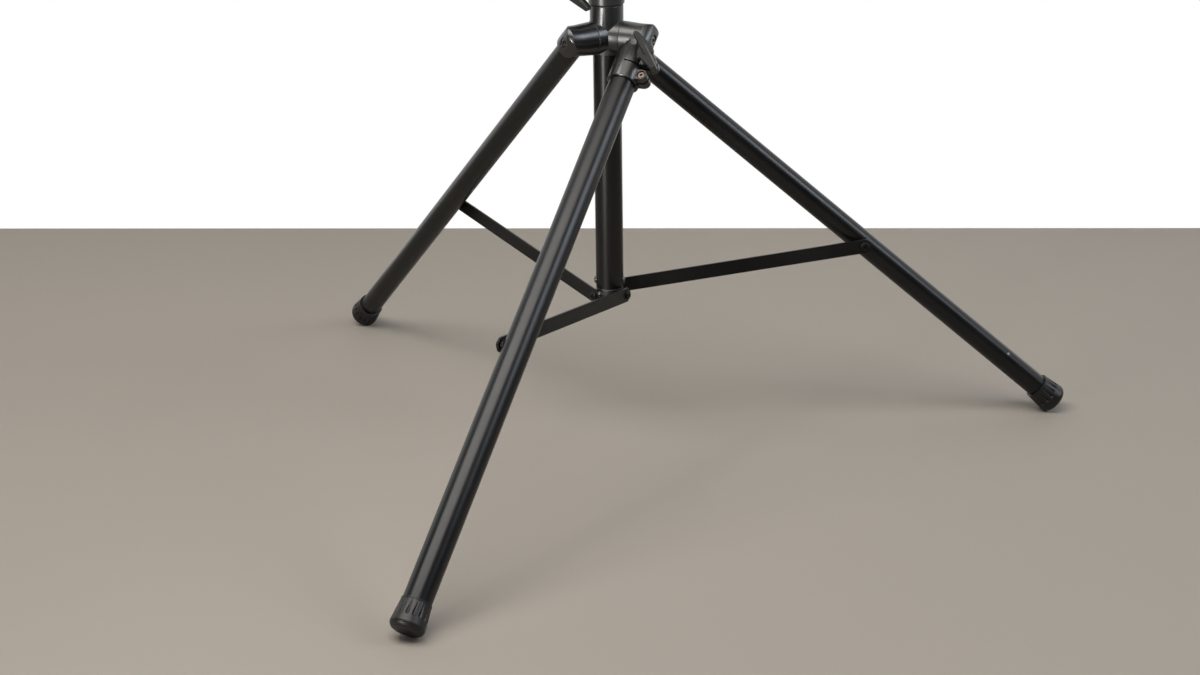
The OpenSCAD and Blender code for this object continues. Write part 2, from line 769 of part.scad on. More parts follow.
// Levelling knuckle: under its elbow hangs a split sleeve with a relief slit and two pairs of lugs
module level_sleeve() {
    color([0.045, 0.045, 0.05]) leg_frame(level_az) difference() {
        union() {
            knuckle_blank();
            rod(sleeve_neck_r, 0, sleeve_top + past);
            translate([0, 0, sleeve_top])
                cylinder(r1 = sleeve_r - sleeve_soft, r2 = sleeve_r, h = sleeve_soft);
            rod(sleeve_r, sleeve_top + sleeve_soft, sleeve_len - 1);
            translate([0, 0, sleeve_len - 1]) cylinder(r1 = sleeve_r, r2 = sleeve_r - 1, h = 1);
            rotate(90) translate([0, 0, level_stud_at]) lugs(level_stud_reach, lug_r, lug_half);
            rotate(90) translate([0, 0, level_screw_at]) lugs(level_screw_reach, level_screw_lug_r, lug_half);
        }
        rod(level_r + fit, level_seat - gap, sleeve_len + past);
        translate([-split_w / 2, 0, sleeve_top - past])
            cube([split_w, level_stud_reach + lug_r + past, sleeve_len]);
        translate([-sleeve_r - lug_half, slit_from, slit_at - slit_w / 2])
            cube([2 * (sleeve_r + lug_half), 2 * sleeve_d, slit_w]);
        rotate(90) translate([0, 0, level_stud_at]) lug_holes(level_stud_reach, stud_r + fit, lug_half);
        rotate(90) translate([0, 0, level_screw_at]) {
            lug_holes(level_screw_reach, 2.5, lug_half);
            along_y() rod_at(level_screw_reach, 5.6, lug_half - 5, lug_half + past);
        }
        knuckle_holes();
    }
}

// Socket screw in the levelling sleeve's lower lugs
module level_screw() {
    color([0.5, 0.42, 0.36]) leg_frame(level_az) rotate(90)
        translate([level_screw_reach, 0, level_screw_at]) along_y() {
        rod(2.5, -lug_half - (nut_h - nut_sink) - 1, lug_half - 5);
        difference() {
            rod(4.6, lug_half - 5, lug_half - 1);
            hex_rod(4, lug_half - 3.6, lug_half);
        }
    }
}

// Nuts in the levelling sleeve's two far lugs
module level_nuts() {
    color([0.6, 0.6, 0.62]) leg_frame(level_az) rotate(90) {
        translate([level_stud_reach, 0, level_stud_at]) lug_nut();
        translate([level_screw_reach, -lug_half + nut_sink, level_screw_at]) rotate([90, 0, 0]) nut(2.5);
    }
}

// Knob of the levelling sleeve
module level_knob() {
    color([0.13, 0.13, 0.14]) leg_frame(level_az) rotate(90) translate([0, 0, level_stud_at])
        on_lug(level_stud_reach, level_knob_spin) knob_shape();
}

// Stud of the levelling sleeve's knob
module level_knob_stud() {
    color([0.6, 0.6, 0.62]) leg_frame(level_az) rotate(90) translate([0, 0, level_stud_at])
        on_lug(level_stud_reach, level_knob_spin) stud_shape();
}

// Levelling leg tube, which slides in the sleeve
module level_tube() {
    color([0.05, 0.05, 0.055]) leg_frame(level_az)
        pipe(level_r, level_r - level_wall, level_seat + level_plug_rim, leg_len - foot_seat);
}

// Plug in the levelling tube's upper end
module level_plug() {
    color([0.1, 0.1, 0.1]) leg_frame(level_az) {
        rod(level_r, level_seat, level_seat + level_plug_rim);
        pipe(level_r - level_wall, level_r - level_wall - 3, level_seat + level_plug_rim, level_seat + 22);
    }
}

column();
spreader();
spreader_bolt();
brace_bosses();
brace_screws();
mast_clamp();
mast_clamp_nut();
mast_knob();
mast_knob_stud();
mast();
mast_guide();
mast_cap();
cabinet_flange();
safety_pin();
hub();
hub_bush();
hub_washers();
hub_collar();
hub_collar_nut();
hub_screws();
hub_knob();
hub_knob_stud();
left_knuckle();
left_leg();
left_rivet();
left_foot();
left_brace();
left_brace_bolt();
right_knuckle();
right_leg();
right_rivet();
right_foot();
right_brace();
right_brace_bolt();
level_sleeve();
level_screw();
level_nuts();
level_knob();
level_knob_stud();
level_tube();
level_plug();
level_foot();
level_brace();
level_brace_bolt();
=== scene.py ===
import json
import math

import bmesh
import bpy
import numpy as np
from mathutils import Matrix, Vector


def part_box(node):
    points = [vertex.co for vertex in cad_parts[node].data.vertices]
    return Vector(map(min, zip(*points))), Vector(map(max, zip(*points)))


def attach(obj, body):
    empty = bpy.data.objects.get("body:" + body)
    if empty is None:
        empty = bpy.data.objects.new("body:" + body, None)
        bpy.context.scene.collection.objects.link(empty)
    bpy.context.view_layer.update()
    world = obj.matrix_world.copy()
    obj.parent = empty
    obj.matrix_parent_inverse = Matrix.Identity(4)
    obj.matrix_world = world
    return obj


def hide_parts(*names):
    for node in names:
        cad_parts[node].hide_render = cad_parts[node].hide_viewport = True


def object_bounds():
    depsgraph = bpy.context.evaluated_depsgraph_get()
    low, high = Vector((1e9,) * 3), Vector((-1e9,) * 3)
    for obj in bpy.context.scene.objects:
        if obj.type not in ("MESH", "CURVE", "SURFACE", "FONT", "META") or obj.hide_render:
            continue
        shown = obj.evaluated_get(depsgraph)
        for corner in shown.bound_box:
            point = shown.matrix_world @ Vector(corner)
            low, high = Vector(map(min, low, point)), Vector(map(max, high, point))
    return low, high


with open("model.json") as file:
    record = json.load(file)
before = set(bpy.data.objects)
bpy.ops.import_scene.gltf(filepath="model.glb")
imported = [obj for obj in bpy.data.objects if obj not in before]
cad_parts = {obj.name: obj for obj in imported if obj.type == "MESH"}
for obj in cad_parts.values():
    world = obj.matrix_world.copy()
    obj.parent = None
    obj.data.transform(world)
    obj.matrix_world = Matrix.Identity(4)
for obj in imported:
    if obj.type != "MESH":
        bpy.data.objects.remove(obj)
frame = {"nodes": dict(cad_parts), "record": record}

cad_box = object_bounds()

# Camera
# It stands in front of the stand, a little to the right of the levelling leg, and looks down
# at it. Its place and lens come from the lines of the tubes in the photograph.
camera_spot = Vector((1.2610, -2.5856, 1.19166))
camera_turn, camera_tilt, camera_roll = 26.2916, 19.829, -0.7817
camera_lens = 65.31
camera = bpy.data.objects.new("camera", bpy.data.cameras.new("camera"))
camera.data.lens = camera_lens
camera.data.sensor_width = 36.0
camera.data.clip_start, camera.data.clip_end = 0.05, 50.0
camera.matrix_world = (Matrix.Translation(camera_spot)
                       @ Matrix.Rotation(math.radians(camera_turn), 4, "Z")
                       @ Matrix.Rotation(math.radians(90.0 - camera_tilt), 4, "X")
                       @ Matrix.Rotation(math.radians(camera_roll), 4, "Z"))
bpy.context.scene.collection.objects.link(camera)
bpy.context.scene.camera = camera

# Column
# A steel tube with a powder coat. It is cut square, and its ends are eased so that the nylon
# bush of the hub slides over them. The spreader is bolted into its lower end.
mm = 0.001
soft_steps = np.array([0.0, 0.08, 0.25, 0.5, 0.75, 0.92, 1.0])
most_cut = 0.48


def softened(corners, soft, closed=False):
    """The outline through the corners with each corner rounded: along both sides it is cut back by soft, or
    by most_cut of a side that is short, and the cut is bridged by (1-t)^2 a + 2t(1-t) corner + t^2 b. An
    open outline keeps its two ends."""
    p = np.asarray(corners, float)
    before, after = np.roll(p, 1, 0), np.roll(p, -1, 0)
    size = np.broadcast_to(np.asarray(soft, float), (len(p),))[:, None]
    back, on = before - p, after - p
    back_long = np.linalg.norm(back, axis=1, keepdims=True)
    on_long = np.linalg.norm(on, axis=1, keepdims=True)
    a = p + back / back_long * np.minimum(size, back_long * most_cut)
    b = p + on / on_long * np.minimum(size, on_long * most_cut)
    if not closed:
        a[0] = b[0] = p[0]
        a[-1] = b[-1] = p[-1]
    t = soft_steps[None, :, None]
    curve = (1 - t) ** 2 * a[:, None] + 2 * t * (1 - t) * p[:, None] + t ** 2 * b[:, None]
    rows = curve.reshape(-1, 2)
    if closed:
        return np.concatenate([rows, rows[:1]])
    return rows[len(soft_steps) - 1:-(len(soft_steps) - 1)]


def turned(outline, sides):
    """A lathe shape: each (radius, height) of the outline is carried round Z as (r cos a, r sin a, h)."""
    r, h = np.asarray(outline, float).T
    a = np.linspace(0, 2 * np.pi, sides, endpoint=False)
    up = np.broadcast_to(h[:, None], (len(r), sides))
    return np.stack([r[:, None] * np.cos(a), r[:, None] * np.sin(a), up], -1)


crisp_angle, patches_a_metre = 32.0, 14.0


def piece(name, body, material, grids, stands_for, sharp=crisp_angle):
    """One closed piece from grids of points, each one joined from its last column to its first. Poles and
    meeting rows are merged, faces are turned outwards, and edges sharper than the given angle stay crisp."""
    points, faces, count = [], [], 0
    for grid in grids:
        rows, cols = grid.shape[:2]
        index = count + np.arange(rows * cols).reshape(rows, cols)
        beside = np.roll(index, -1, 1)
        faces.append(np.stack([index[:-1], beside[:-1], beside[1:], index[1:]], -1).reshape(-1, 4))
        points.append(grid.reshape(-1, 3))
        count += rows * cols
    mesh = bpy.data.meshes.new(name)
    mesh.from_pydata(np.concatenate(points).tolist(), [], np.concatenate(faces).tolist())
    finished(name, body, material, mesh, stands_for, sharp)


def finished(name, body, material, mesh, stands_for, sharp):
    """Merges a mesh's doubles, turns its faces outwards, and gives it its shading, finish and body."""
    work = bmesh.new()
    work.from_mesh(mesh)
    bmesh.ops.remove_doubles(work, verts=work.verts, dist=2e-7)
    bmesh.ops.dissolve_degenerate(work, dist=1e-7, edges=work.edges)
    bmesh.ops.recalc_face_normals(work, faces=work.faces)
    work.to_mesh(mesh)
    work.free()
    mesh.polygons.foreach_set("use_smooth", np.ones(len(mesh.polygons), bool))
    mesh.set_sharp_from_angle(angle=math.radians(sharp))
    mesh.materials.append(material)
    made = bpy.data.objects.new(name, mesh)
    bpy.context.scene.collection.objects.link(made)
    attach(made, body)
    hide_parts(*stands_for)
    return made


def finish(name, dark, light, rough, grain, grain_depth, metal=0.0, shine=0.5):
    """A paint, plastic or metal. Large soft patches run from dark to light, the roughness runs
    between the two values of rough, and a fine grain of so many bumps a metre stands grain_depth high."""
    made = bpy.data.materials.new(name)
    made.use_nodes = True
    nodes, links = made.node_tree.nodes, made.node_tree.links
    shader = nodes["Principled BSDF"]
    shader.inputs["Metallic"].default_value = metal
    shader.inputs["Specular IOR Level"].default_value = shine
    place = nodes.new("ShaderNodeTexCoord")
    cloud = nodes.new("ShaderNodeTexNoise")
    cloud.inputs["Scale"].default_value = patches_a_metre
    cloud.inputs["Detail"].default_value = 5.0
    cloud.inputs["Roughness"].default_value = 0.65
    links.new(place.outputs["Object"], cloud.inputs["Vector"])
    colour = nodes.new("ShaderNodeValToRGB")
    colour.color_ramp.elements[0].position = 0.35
    colour.color_ramp.elements[1].position = 0.68
    colour.color_ramp.elements[0].color = (*dark, 1.0)
    colour.color_ramp.elements[1].color = (*light, 1.0)
    links.new(cloud.outputs["Fac"], colour.inputs["Fac"])
    links.new(colour.outputs["Color"], shader.inputs["Base Color"])
    gloss = nodes.new("ShaderNodeMapRange")
    gloss.inputs["From Min"].default_value = 0.3
    gloss.inputs["From Max"].default_value = 0.7
    gloss.inputs["To Min"].default_value = rough[0]
    gloss.inputs["To Max"].default_value = rough[1]
    links.new(cloud.outputs["Fac"], gloss.inputs["Value"])
    links.new(gloss.outputs["Result"], shader.inputs["Roughness"])
    fine = nodes.new("ShaderNodeTexNoise")
    fine.inputs["Scale"].default_value = grain
    fine.inputs["Detail"].default_value = 2.0
    links.new(place.outputs["Object"], fine.inputs["Vector"])
    bump = nodes.new("ShaderNodeBump")
    bump.inputs["Strength"].default_value = 0.6
    bump.inputs["Distance"].default_value = grain_depth
    links.new(fine.outputs["Fac"], bump.inputs["Height"])
    links.new(bump.outputs["Normal"], shader.inputs["Normal"])
    return made


powder_black = finish("powder_black", (0.0022, 0.0022, 0.0024), (0.0036, 0.0034, 0.0033), (0.28, 0.35),
                      900.0, 0.00001, shine=0.33)
column_r, column_wall = 19.05 * mm, 1.55 * mm
column_low, column_top = (corner.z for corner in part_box("column"))
tube_ease = 0.4 * mm


def tube_outline(r, wall, low, high):
    """Closed outline of a tube's wall with eased ends."""
    return softened([(r, low), (r, high), (r - wall, high), (r - wall, low)], tube_ease, closed=True)


piece("column_coated", "column", powder_black,
      [turned(tube_outline(column_r, column_wall, column_low, column_top), 128)], ["column"])

# Spreader
# A cast plug in the column's end, cross-bolted through it. Three bright bosses stand on its
# sides, and each one carries the inner end of a brace under a low black screw.
brace_z = sum(corner.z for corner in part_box("brace_bosses")) / 2
leg_turns = {"level": 270.0, "left": 150.0, "right": 30.0}


def eased_copy(name, node, body, material, width, rounds=2):
    """A copy of a node's own solid with its edges eased: doubles are merged, flat faces are made whole
    again, and each edge sharper than 30 degrees is rounded by width, in so many rounds."""
    mesh = frame["nodes"][node].data.copy()
    mesh.name = name
    mesh.materials.clear()
    work = bmesh.new()
    work.from_mesh(mesh)
    bmesh.ops.remove_doubles(work, verts=work.verts, dist=1e-6)
    bmesh.ops.dissolve_limit(work, angle_limit=math.radians(0.3), verts=work.verts, edges=work.edges)
    work.to_mesh(mesh)
    work.free()
    made = finished(name, body, material, mesh, [node], crisp_angle)
    bevel = made.modifiers.new("eased", "BEVEL")
    bevel.width = width
    bevel.segments = rounds
    bevel.limit_method = "ANGLE"
    bevel.angle_limit = math.radians(30)
    bevel.use_clamp_overlap = True
    bevel.harden_normals = True


cast_black = finish("cast_black", (0.0025, 0.0025, 0.0028), (0.005, 0.0048, 0.0046), (0.27, 0.37),
                    420.0, 0.00003, shine=0.75)
eased_copy("spreader_cast", "spreader", "column", cast_black, 0.5 * mm)


def placed(place, points):
    """Points of a grid carried by a 4 by 4 place."""
    m = np.array(place, float)
    return points @ m[:3, :3].T + m[:3, 3]


screw_sides = 96


def hexagon(across):
    """Angles round a hexagon and its radius at each: a side lies at across / 2 from the axis, so the radius
    is across / 2 / cos(a), with a counted from the middle of the side."""
    a = np.linspace(0, 2 * np.pi, screw_sides, endpoint=False)
    off = (a + np.pi / 6) % (np.pi / 3) - np.pi / 6
    return a, across / 2 / np.cos(off)


def hex_socket(across, low, high):
    """A hexagonal socket in a screw's head: its rim, its foot straight below, and the middle of its floor."""
    a, r = hexagon(across)
    rim = np.stack([r * np.cos(a), r * np.sin(a), np.full(screw_sides, high)], -1)
    foot = rim * [1, 1, 0] + [0, 0, low]
    return np.stack([rim, foot, np.broadcast_to([0, 0, low], (screw_sides, 3))])


def button_screw(r, height, socket, shank_r, shank_low):
    """A low screw on z = 0: shank, domed head with an eased rim, and a hex socket. The head's outline is
    carried round the axis, and its top rows run into the six walls of the socket."""
    dome = [(0, shank_low), (shank_r, shank_low), (shank_r, 0), (r, 0), (r, height * 0.35),
            (r * 0.86, height * 0.8), (r * 0.6, height)]
    return np.concatenate([turned(softened(dome, 0.35 * mm), screw_sides),
                           hex_socket(socket, height * 0.4, height)])


def around(turn):
    """The frame of a leg's pivots: turned round the column, with Z along the pivot."""
    return Matrix.Rotation(math.radians(turn), 4, "Z") @ Matrix.Rotation(math.radians(-90), 4, "X")


bright_plate = finish("bright_plate", (0.50, 0.50, 0.52), (0.64, 0.64, 0.66), (0.12, 0.22),
                      600.0, 0.00001, metal=1.0)
boss_low, boss_high = 19.65 * mm, 23.95 * mm
boss_bore, boss_r, boss_neck, boss_neck_long = 3 * mm, 5.5 * mm, 4 * mm, 3.1 * mm
boss_place = {side: Matrix.Translation((0, 0, brace_z)) @ around(turn) for side, turn in leg_turns.items()}
boss = softened([(boss_bore, boss_low), (boss_r, boss_low), (boss_r, boss_high), (boss_neck, boss_high),
                 (boss_neck, boss_high + boss_neck_long), (boss_bore, boss_high + boss_neck_long)],
                0.35 * mm, closed=True)
piece("brace_bosses_plated", "column", bright_plate,
      [placed(place, turned(boss, 64)) for place in boss_place.values()], ["brace_bosses"])
screw_seat = boss_high + boss_neck_long
strap_black = finish("strap_black", (0.003, 0.003, 0.003), (0.006, 0.0058, 0.0055), (0.32, 0.42),
                     1000.0, 0.00003, shine=0.2)
piece("brace_screws_black", "column", strap_black,
      [placed(place @ Matrix.Translation((0, 0, screw_seat)),
              button_screw(r=6.5 * mm, height=3.2 * mm, socket=4 * mm, shank_r=3 * mm, shank_low=-16 * mm))
       for place in boss_place.values()],
      ["brace_screws"])
dark_plate = finish("dark_plate", (0.10, 0.10, 0.10), (0.17, 0.168, 0.165), (0.25, 0.36),
                    600.0, 0.00002, metal=1.0)
bolt_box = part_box("spreader_bolt")
bolt_seat, bolt_turn = 18.2 * mm, math.radians(20)
bolt_spot = (Matrix.Translation((0, 0, (bolt_box[0].z + bolt_box[1].z) / 2))
             @ Matrix.Rotation(bolt_turn, 4, "Z"))
piece("spreader_bolt_plated", "column", dark_plate,
      [placed(bolt_spot @ Matrix.Rotation(math.radians(side), 4, "Y") @ Matrix.Translation((0, 0, bolt_seat)),
              button_screw(r=5.5 * mm, height=3.2 * mm, socket=3.5 * mm, shank_r=3 * mm,
                           shank_low=-bolt_seat))
       for side in (90, -90)],
      ["spreader_bolt"])

# Hub
# An aluminium casting: a neck round the column and three arms that meet in mitres, each at a
# right angle to its leg. It is painted semi-gloss black over an as-cast skin.
leg_angle, leg_long = 49.0, 850 * mm
foot_r, foot_sole, foot_edge = 22 * mm, 18.2 * mm, 8 * mm
leg_cos, leg_sin = math.cos(math.radians(leg_angle)), math.sin(math.radians(leg_angle))
pivot_z = (leg_long + foot_sole - foot_edge) * leg_cos + (foot_r - foot_edge) * leg_sin + foot_edge
eased_copy("hub_cast", "hub", "hub", cast_black, 0.7 * mm, rounds=3)
knuckle_place = {side: Matrix.Translation((0, 0, pivot_z)) @ around(turn) for side, turn in leg_turns.items()}
screw_low = 66.05 * mm
piece("hub_screws_plated", "hub", dark_plate,
      [placed(place @ Matrix.Translation((0, 0, screw_low)),
              button_screw(r=6.2 * mm, height=3.2 * mm, socket=5 * mm, shank_r=4 * mm, shank_low=-24 * mm))
       for place in knuckle_place.values()], ["hub_screws"])

# Knuckles
# Each plain leg's knuckle is a cast elbow on the hub's spigot. Its arm widens a little to the
# washer, its outer corners are round, and a screw lies deep in its end. Its spigot holds the tube.
for side in ("left", "right"):
    eased_copy(side + "_knuckle_cast", side + "_knuckle", side + "_leg", cast_black,
               0.4 * mm)

# Leg tubes
# Steel tubes with the same powder coat as the column. A plain leg has one small rivet near its
# foot. The levelling leg's tube is wider, slides in its sleeve, and has a nylon plug on top.
leg_r, leg_wall, level_r, level_wall = 16.2 * mm, 1.5 * mm, 18 * mm, 1.8 * mm
leg_offset = 49.2 * mm
leg_place = {side: Matrix.Rotation(math.radians(turn), 4, "Z") @ Matrix.Translation((0, leg_offset, pivot_z))
             @ Matrix.Rotation(math.radians(180 - leg_angle), 4, "Y") for side, turn in leg_turns.items()}
tube_top, level_tube_top, foot_seat = 16 * mm, 30 * mm, 2 * mm
tube_low = leg_long - foot_seat
for side in ("left", "right"):
    piece(side + "_leg_coated", side + "_leg", powder_black,
          [placed(leg_place[side], turned(tube_outline(leg_r, leg_wall, tube_top, tube_low), 112))],
          [side + "_leg"])
piece("level_tube_coated", "level_leg", powder_black,
      [placed(leg_place["level"], turned(tube_outline(level_r, level_wall, level_tube_top, tube_low), 128))],
      ["level_tube"])
rivet_up, rivet_turn = 92 * mm, 230
rivet_shank, rivet_head, rivet_in, rivet_seat, rivet_top = 1.6 * mm, 3.2 * mm, 3 * mm, 0.4 * mm, 1.1 * mm
rivet_line = softened([(0, leg_r - rivet_in), (rivet_shank, leg_r - rivet_in),
                       (rivet_shank, leg_r - rivet_seat), (rivet_head, leg_r - rivet_seat),
                       (2.9 * mm, leg_r + 0.5 * mm), (1.7 * mm, leg_r + 1.05 * mm),
                       (0, leg_r + rivet_top)], 0.25 * mm)
for side in ("left", "right"):
    spot = (leg_place[side] @ Matrix.Rotation(math.radians(rivet_turn), 4, "Z")
            @ Matrix.Translation((0, 0, leg_long - rivet_up)) @ Matrix.Rotation(math.radians(90), 4, "Y"))
    piece(side + "_rivet_plated", side + "_leg", dark_plate,
          [placed(spot, turned(rivet_line, 40))], [side + "_rivet"])

# Feet
# Moulded rubber caps pushed over the tubes' ends: a thin lip, a cup that widens downward, wedge
# grooves round it, a rounded edge and a flat sole square to the leg.
foot_h, cup_r, bead, bead_h, bead_slope = 20 * mm, 18.9 * mm, 0.4 * mm, 2.4 * mm, 0.8 * mm
grooves, groove_r, groove_low, groove_high = 16, 2.3 * mm, 0.0, 16.5 * mm
groove_taper, groove_shallow, groove_fade, groove_points = 0.3, 0.15, 1 * mm, 18


def foot_grid(tube_r):
    """A foot round Z: flat sole, quarter circle of foot_edge, straight side that runs from foot_r to cup_r,
    and the lip. Between its round low end and groove_high a groove takes off sqrt(g^2 - d^2) less
    groove_shallow of groove_r, where d is the distance from its middle and g falls from groove_r to
    groove_taper of it on the way up. Over groove_fade above that it runs out."""
    edge_at = foot_edge - foot_sole
    lean = (foot_r - cup_r) / (foot_h - edge_at)
    arc = np.linspace(-np.pi / 2, 0, 17)
    lip_low = foot_h - bead_h
    side = np.linspace(edge_at, lip_low, 60)[1:]
    lip = softened([(cup_r, lip_low - 0.2 * mm), (cup_r + bead, lip_low + bead_slope), (cup_r + bead, foot_h),
                    (tube_r, foot_h), (tube_r, foot_seat)], 0.3 * mm)
    r = np.concatenate([[0], foot_r - foot_edge + foot_edge * np.cos(arc), foot_r - (side - edge_at) * lean,
                        lip[1:, 0], [0]])
    z = np.concatenate([[-foot_sole], edge_at + foot_edge * np.sin(arc), side, lip[1:, 1], [foot_seat]])
    a = np.linspace(0, 2 * np.pi, grooves * groove_points, endpoint=False)
    step = 2 * np.pi / grooves
    off = ((a % step) - step / 2)[None, :] * r[:, None]
    outer = (np.arange(len(r)) <= len(arc) + len(side))[:, None]
    g = np.interp(z, [groove_low, groove_high], [groove_r, groove_r * groove_taper])
    g = np.sqrt(np.clip(g ** 2 - np.clip(groove_low - z, 0, None) ** 2, 0, None))
    g = np.where(z > groove_high, g * np.clip(1 - (z - groove_high) / groove_fade, 0, 1), g)[:, None]
    cut = np.sqrt(np.clip(g ** 2 - off ** 2, 0, None)) - groove_r * groove_shallow
    radius = r[:, None] - np.where(outer, np.clip(cut, 0, None), 0)
    return np.stack([radius * np.cos(a), radius * np.sin(a), np.broadcast_to(z[:, None], radius.shape)], -1)


rubber_black = finish("rubber_black", (0.004, 0.004, 0.004), (0.008, 0.0076, 0.0072), (0.36, 0.48),
                      700.0, 0.00004, shine=0.38)
flip = Matrix.Translation((0, 0, leg_long)) @ Matrix.Rotation(math.pi, 4, "X")
for side, tube_r in (("left", leg_r), ("right", leg_r), ("level", level_r)):
    piece(side + "_foot_rubber", side + "_leg", rubber_black,
          [placed(leg_place[side] @ flip, foot_grid(tube_r))], [side + "_foot"], sharp=50.0)

# Levelling sleeve
# The levelling leg's knuckle runs down into a split sleeve. A relief slit frees its lower half,
# which a recessed socket screw sets, and a knob clamps its upper half on the tube.
eased_copy("level_sleeve_cast", "level_sleeve", "level_sleeve", cast_black, 0.5 * mm)
lug_half = 11 * mm
clamp_turn = Matrix.Rotation(math.radians(-90), 4, "X")
level_lugs = leg_place["level"] @ Matrix.Rotation(math.radians(90), 4, "Z")
stud_out, stud_at, screw_out, screw_at = 12.5 * mm, 40 * mm, 8.5 * mm, 64 * mm
level_stud = level_lugs @ Matrix.Translation((level_r + stud_out, 0, stud_at)) @ clamp_turn
level_low = level_lugs @ Matrix.Translation((level_r + screw_out, 0, screw_at)) @ clamp_turn


def socket_screw(r, head_low, head_high, socket, shank_r, shank_low):
    """A cap screw round Z: shank, straight head with an eased rim, and a deep hex socket."""
    line = [(0, shank_low), (shank_r, shank_low), (shank_r, head_low), (r, head_low), (r, head_high),
            (r * 0.72, head_high)]
    return np.concatenate([turned(softened(line, 0.4 * mm), screw_sides),
                           hex_socket(socket, head_high - 2.6 * mm, head_high)])


def hex_nut(across, low, high, bore_r):
    """A nut round Z: a hexagon with a bore. Both its rims are turned down to about the circle that the
    flats touch, and drop is how far the cut comes down at each angle."""
    a, flat = hexagon(across)
    bore = np.full(screw_sides, bore_r)
    drop = (flat - across / 2) * 0.6
    rim = np.minimum(flat, across / 2 * 1.01)
    rows = [(bore, low), (rim, low), (flat, low + drop), (flat, high - drop), (rim, high), (bore, high),
            (bore, low)]
    return np.stack([np.stack([r * np.cos(a), r * np.sin(a), z + 0 * a], -1) for r, z in rows])


copper_plate = finish("copper_plate", (0.15, 0.105, 0.08), (0.22, 0.16, 0.125), (0.3, 0.42),
                      600.0, 0.00002, metal=1.0)
level_screw = socket_screw(r=4.6 * mm, head_low=lug_half - 5 * mm, head_high=lug_half - 1 * mm, socket=4 * mm,
                           shank_r=2.5 * mm, shank_low=-lug_half - 3.5 * mm)
piece("level_screw_plated", "level_sleeve", copper_plate, [placed(level_low, level_screw)],
      ["level_screw"])
zinc_plate = finish("zinc_plate", (0.40, 0.39, 0.38), (0.52, 0.51, 0.50), (0.3, 0.42),
                    700.0, 0.00002, metal=1.0)
nut_across, nut_h, nut_sunk, stud_hole, screw_hole = 10 * mm, 5 * mm, 2.5 * mm, 3.05 * mm, 2.5 * mm
nut_low = -lug_half + nut_sunk - nut_h
stud_nut = hex_nut(nut_across, nut_low, nut_low + nut_h, stud_hole)
screw_nut = hex_nut(nut_across, nut_low, nut_low + nut_h, screw_hole)
piece("level_nuts_zinc", "level_sleeve", zinc_plate,
      [placed(level_stud, stud_nut), placed(level_low, screw_nut)], ["level_nuts"])

# Collars
# Split clamp collars of glass-filled nylon, one on the hub's neck and one on the column's top.
# Each has a hex nut sunk in its far lug.
collar_mid = sum(corner.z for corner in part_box("hub_collar")) / 2
lug_up, stud_reach = 11 * mm, 38 * mm
mast_lug_z = column_top + lug_up
hub_stud = (Matrix.Translation((0, 0, collar_mid)) @ Matrix.Rotation(math.pi, 4, "Z")
            @ Matrix.Translation((stud_reach, 0, 0)) @ clamp_turn)
mast_stud = Matrix.Translation((stud_reach, 0, mast_lug_z)) @ clamp_turn
moulded_grey = finish("moulded_grey", (0.0095, 0.0092, 0.009), (0.016, 0.0155, 0.015), (0.27, 0.38),
                      1100.0, 0.00004, shine=0.65)
eased_copy("hub_collar_moulded", "hub_collar", "hub", moulded_grey, 0.6 * mm)
eased_copy("mast_clamp_moulded", "mast_clamp", "column", moulded_grey, 0.6 * mm)
piece("hub_collar_nut_zinc", "hub", zinc_plate, [placed(hub_stud, stud_nut)],
      ["hub_collar_nut"])
piece("mast_clamp_nut_zinc", "column", zinc_plate, [placed(mast_stud, stud_nut)],
      ["mast_clamp_nut"])

# Knobs
# Moulded T knobs with a threaded steel stud. A tapered boss carries two wings, set off from each
# other like a propeller's, each with a crest between a broad and a steep slope.
boss_h, lug_gap = 14 * mm, 0.3 * mm


def threaded(r, pitch, low, high):
    """A stud with a rolled thread: the radius falls by half a pitch times the saw of z / pitch - a / 2 pi,
    and both ends are pointed."""
    sides, rows_a_turn, point = 40, 8, 0.9 * mm
    z = np.linspace(low, high, int((high - low) / pitch * rows_a_turn))
    a = np.linspace(0, 2 * np.pi, sides, endpoint=False)
    turn = z[:, None] / pitch - a[None, :] / (2 * np.pi)
    ridge = np.abs((turn % 1.0) * 2 - 1)
    radius = r - 0.5 * pitch * (1 - ridge)
    end = np.clip(np.minimum(z - low, high - z) / point, 0, 1)[:, None]
    radius = np.minimum(radius, r * (0.72 + 0.28 * end))
    grid = np.stack([radius * np.cos(a), radius * np.sin(a), np.broadcast_to(z[:, None], radius.shape)], -1)
    middle = np.zeros((1, sides, 3))
    return np.concatenate([middle + [0, 0, low], grid, middle + [0, 0, high]])


stud_past, stud_in_knob = 4.5 * mm, 4 * mm
stud_low = -lug_gap - 2 * lug_half - stud_past
for name, place in (("hub_knob", hub_stud), ("mast_knob", mast_stud), ("level_knob", level_stud)):
    eased_copy(name + "_moulded", name, name, moulded_grey, 0.9 * mm, rounds=3)
    piece(name + "_stud_zinc", name, zinc_plate,
          [placed(place @ Matrix.Translation((0, 0, lug_half + lug_gap)),
                  threaded(r=3 * mm, pitch=1 * mm, low=stud_low, high=boss_h + stud_in_knob))],
          [name + "_stud"])

